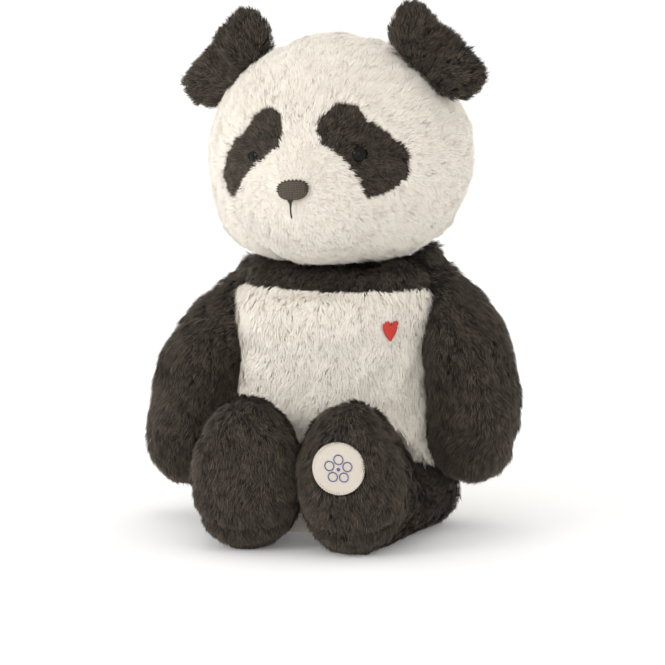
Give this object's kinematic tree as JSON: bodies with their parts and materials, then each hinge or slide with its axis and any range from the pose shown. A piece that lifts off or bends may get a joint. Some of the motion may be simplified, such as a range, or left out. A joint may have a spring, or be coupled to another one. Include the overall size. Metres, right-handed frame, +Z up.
{
  "type": "plush panda",
  "caption": "Seated soft toy panda: furry cloth covers over loose filling, with movable head, ears, arms and legs and a round felt badge on a sole.",
  "frame": {"origin": "on the floor, under the middle of the bounding box", "axes": "+Z up, the toy's face looks along -Y, the toy's own left side is +X"},
  "size_m": [0.2703, 0.2179, 0.3774],
  "materials": {
    "dark_fur": "long pile",
    "cream_fur": "long pile",
    "filling": "loose fibre",
    "pouch_cloth": "plain weave",
    "pellets": "matte",
    "eye_plastic": "polished",
    "washer_plastic": "matte",
    "nose_felt": "pressed felt",
    "badge_felt": "pressed felt",
    "thread_dark": "twisted thread",
    "thread_cream": "twisted thread",
    "thread_red": "satin stitch",
    "thread_blue": "satin stitch"
  },
  "bodies": {
    "torso": {"belly_panel": "cream_fur", "yoke_front": "dark_fur", "yoke_back": "dark_fur", "back_left": "cream_fur", "back_right": "cream_fur", "base_panel": "cream_fur", "closing_stitches": "thread_cream", "torso_stuffing": "filling", "bean_pouch": "pouch_cloth", "bean_pellets": "pellets", "heart": "thread_red"},
    "neck": {"neck_seam": "thread_dark"},
    "head": {"head_side_left": "cream_fur", "head_side_right": "cream_fur", "head_gusset": "cream_fur", "muzzle": "cream_fur", "eye_patch_left": "dark_fur", "eye_patch_right": "dark_fur", "eye_left": "eye_plastic", "eye_right": "eye_plastic", "eye_washer_left": "washer_plastic", "eye_washer_right": "washer_plastic", "nose": "nose_felt", "nose_stitching": "thread_dark", "mouth_stitching": "thread_dark", "head_stuffing": "filling"},
    "ear_left": {"ear_left_front": "dark_fur", "ear_left_back": "dark_fur"},
    "shoulder_left": {"shoulder_seam_left": "thread_dark"},
    "arm_left": {"arm_left_outer": "dark_fur", "arm_left_inner": "dark_fur", "arm_left_stuffing": "filling"},
    "hip_left": {"hip_seam_left": "thread_dark"},
    "leg_left": {"leg_left_outer": "dark_fur", "leg_left_inner": "dark_fur", "leg_left_sole": "dark_fur", "leg_left_stuffing": "filling", "badge_felt": "badge_felt", "badge_edge_stitching": "thread_cream", "badge_motif": "thread_blue"},
    "ear_right": {"ear_right_front": "dark_fur", "ear_right_back": "dark_fur"},
    "shoulder_right": {"shoulder_seam_right": "thread_dark"},
    "arm_right": {"arm_right_outer": "dark_fur", "arm_right_inner": "dark_fur", "arm_right_stuffing": "filling"},
    "hip_right": {"hip_seam_right": "thread_dark"},
    "leg_right": {"leg_right_outer": "dark_fur", "leg_right_inner": "dark_fur", "leg_right_sole": "dark_fur", "leg_right_stuffing": "filling"}
  },
  "joints": [
    {"name": "head_turn", "type": "hinge", "parent": "torso", "child": "neck", "pos_m": [0.0042, 0.03055, 0.19], "axis": [0, 0, 1], "range_deg": [-20, 40]},
    {"name": "head_nod", "type": "hinge", "parent": "neck", "child": "head", "pos_m": [0.0042, 0.03055, 0.19], "axis": [1, 0, 0], "range_deg": [-10, 10]},
    {"name": "arm_left_swing", "type": "hinge", "parent": "torso", "child": "shoulder_left", "pos_m": [0.0662, 0.03055, 0.172], "axis": [1, 0, 0], "range_deg": [-80, 25]},
    {"name": "arm_left_raise", "type": "hinge", "parent": "shoulder_left", "child": "arm_left", "pos_m": [0.0662, 0.03055, 0.172], "axis": [0, -1, 0], "range_deg": [0, 60]},
    {"name": "leg_left_spread", "type": "hinge", "parent": "torso", "child": "hip_left", "pos_m": [0.0682, 0.02555, 0.0255], "axis": [0, 0, 1], "range_deg": [0, 15]},
    {"name": "leg_left_lift", "type": "hinge", "parent": "hip_left", "child": "leg_left", "pos_m": [0.0682, 0.02555, 0.0255], "axis": [-1, 0, 0], "range_deg": [0, 12]},
    {"name": "arm_right_swing", "type": "hinge", "parent": "torso", "child": "shoulder_right", "pos_m": [-0.0578, 0.03055, 0.158], "axis": [1, 0, 0], "range_deg": [-80, 25]},
    {"name": "arm_right_raise", "type": "hinge", "parent": "shoulder_right", "child": "arm_right", "pos_m": [-0.0578, 0.03055, 0.158], "axis": [0, 1, 0], "range_deg": [0, 60]},
    {"name": "leg_right_spread", "type": "hinge", "parent": "torso", "child": "hip_right", "pos_m": [-0.0598, 0.02555, 0.0255], "axis": [0, 0, -1], "range_deg": [0, 15]},
    {"name": "leg_right_lift", "type": "hinge", "parent": "hip_right", "child": "leg_right", "pos_m": [-0.0598, 0.02555, 0.0255], "axis": [-1, 0, 0], "range_deg": [0, 12]},
    {"name": "ear_left_fold", "type": "hinge", "parent": "head", "child": "ear_left", "pos_m": [0.06687, 0.01313, 0.32949], "axis": [0.7387, -0.1236, -0.6626], "range_deg": [-18, 18]},
    {"name": "ear_right_fold", "type": "hinge", "parent": "head", "child": "ear_right", "pos_m": [-0.06504, 0.03521, 0.32131], "axis": [0.6535, -0.1094, 0.749], "range_deg": [-18, 18]}
  ]
}
